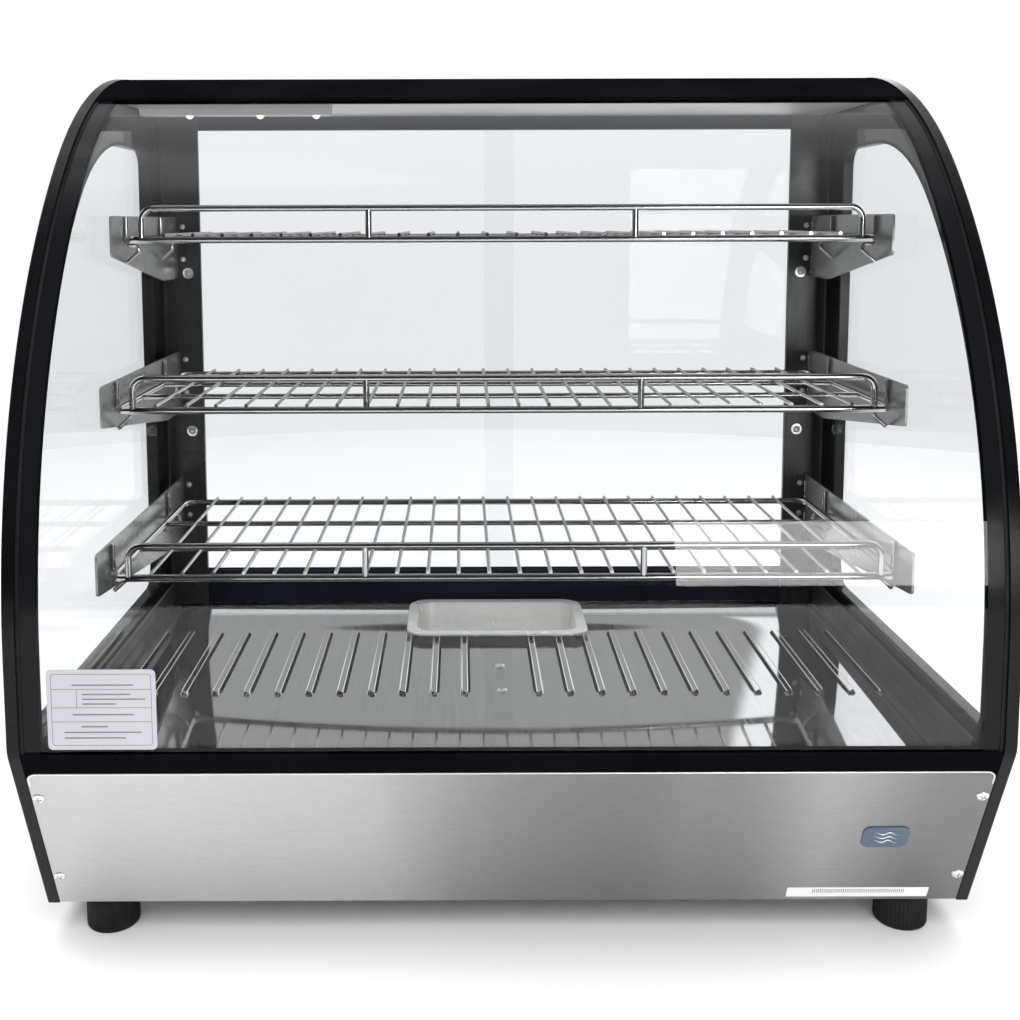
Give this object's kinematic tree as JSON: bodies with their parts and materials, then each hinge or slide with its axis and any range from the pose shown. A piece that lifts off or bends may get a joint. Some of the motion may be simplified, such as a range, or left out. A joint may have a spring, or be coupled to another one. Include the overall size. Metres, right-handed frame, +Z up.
{
  "type": "hot food display case",
  "caption": "Countertop heated display case with a curved front glass, wire shelves on side brackets, a louvred deck with a water pan and sliding rear doors.",
  "frame": {"origin": "middle of the footprint on the counter, under the feet", "axes": "+X to the right seen from the curved glass, +Y to the service side, +Z up"},
  "size_m": [0.695, 0.462, 0.67],
  "materials": {
    "black_gloss": "gloss black",
    "tempered_glass": "clear polished float glass",
    "black_rubber": "matte moulded",
    "brushed_steel": "brushed along its length",
    "polished_steel": "near mirror polish",
    "chromed_wire": "bright chrome plating",
    "dark_sheet": "satin dark grey coating",
    "fastener_steel": "bright stainless",
    "zinc_steel": "galvanised sheet",
    "heater_sheath": "heat-darkened stainless sheath",
    "mineral_wool": "pressed fibre board",
    "black_plastic": "fine moulded texture",
    "nylon": "natural nylon",
    "red_plastic": "translucent red rocker",
    "green_plastic": "translucent green rocker",
    "lamp_lens": "frosted lens"
  },
  "bodies": {
    "cabinet": {"base_insulation": "mineral_wool", "base_tray": "brushed_steel", "bracket_bottom_left": "polished_steel", "bracket_bottom_right": "polished_steel", "bracket_middle_left": "polished_steel", "bracket_middle_right": "polished_steel", "bracket_top_left": "polished_steel", "bracket_top_right": "polished_steel", "cable_gland": "black_plastic", "ceiling_liner": "brushed_steel", "deck_ledges": "zinc_steel", "deck_plate": "polished_steel", "deck_screws": "fastener_steel", "display_module": "black_plastic", "feet": "black_rubber", "foot_bolts": "fastener_steel", "front_glass": "tempered_glass", "front_glass_seals": "black_rubber", "front_panel": "brushed_steel", "front_screws": "fastener_steel", "heat_shield": "zinc_steel", "heater_clips": "zinc_steel", "heater_left": "heater_sheath", "heater_right": "heater_sheath", "lamp_housing": "dark_sheet", "lamp_lenses": "lamp_lens", "lower_front_trim": "black_gloss", "lower_track": "dark_sheet", "post_left": "dark_sheet", "post_right": "dark_sheet", "post_screws": "fastener_steel", "rear_panel": "brushed_steel", "rocker_bezels": "black_plastic", "roof_panel": "black_gloss", "shelf_rests": "chromed_wire", "side_frame_left": "black_gloss", "side_frame_right": "black_gloss", "side_gaskets": "black_rubber", "side_glass_left": "tempered_glass", "side_glass_right": "tempered_glass", "terminal_block": "nylon", "thermostat_body": "black_plastic", "top_front_trim": "black_gloss", "upper_track": "dark_sheet"},
    "left_door": {"door_glass_left": "tempered_glass", "door_pull_left": "black_plastic", "door_glides_left": "nylon"},
    "right_door": {"door_glass_right": "tempered_glass", "door_pull_right": "black_plastic", "door_glides_right": "nylon"},
    "water_pan": {"water_pan": "polished_steel"},
    "thermostat_knob": {"thermostat_knob": "black_plastic"},
    "power_switch": {"rocker_power": "red_plastic"},
    "lamp_switch": {"rocker_lamp": "green_plastic"},
    "bottom_shelf": {"shelf_grid_bottom": "chromed_wire", "shelf_guard_bottom": "chromed_wire"},
    "middle_shelf": {"shelf_grid_middle": "chromed_wire", "shelf_guard_middle": "chromed_wire"},
    "top_shelf": {"shelf_grid_top": "chromed_wire", "shelf_guard_top": "chromed_wire"}
  },
  "joints": [
    {"name": "left_door_slide", "type": "slide", "parent": "cabinet", "child": "left_door", "axis": [1, 0, 0], "range_m": [0, 0.3]},
    {"name": "right_door_slide", "type": "slide", "parent": "cabinet", "child": "right_door", "axis": [1, 0, 0], "range_m": [-0.3, 0]},
    {"name": "bottom_shelf_lift", "type": "slide", "parent": "cabinet", "child": "bottom_shelf", "axis": [0, 0, 1], "range_m": [0, 0.05]},
    {"name": "middle_shelf_lift", "type": "slide", "parent": "cabinet", "child": "middle_shelf", "axis": [0, 0, 1], "range_m": [0, 0.05]},
    {"name": "top_shelf_lift", "type": "slide", "parent": "cabinet", "child": "top_shelf", "axis": [0, 0, 1], "range_m": [0, 0.05]},
    {"name": "water_pan_lift", "type": "slide", "parent": "cabinet", "child": "water_pan", "axis": [0, 0, 1], "range_m": [0, 0.08]},
    {"name": "thermostat_turn", "type": "hinge", "parent": "cabinet", "child": "thermostat_knob", "pos_m": [-0.215, 0.2192, 0.086], "axis": [0, -1, 0], "range_deg": [0, 270]},
    {"name": "power_switch_rock", "type": "hinge", "parent": "cabinet", "child": "power_switch", "pos_m": [-0.29, 0.2167, 0.086], "axis": [1, 0, 0], "range_deg": [0, 16]},
    {"name": "lamp_switch_rock", "type": "hinge", "parent": "cabinet", "child": "lamp_switch", "pos_m": [-0.265, 0.2167, 0.086], "axis": [1, 0, 0], "range_deg": [0, 16]}
  ]
}
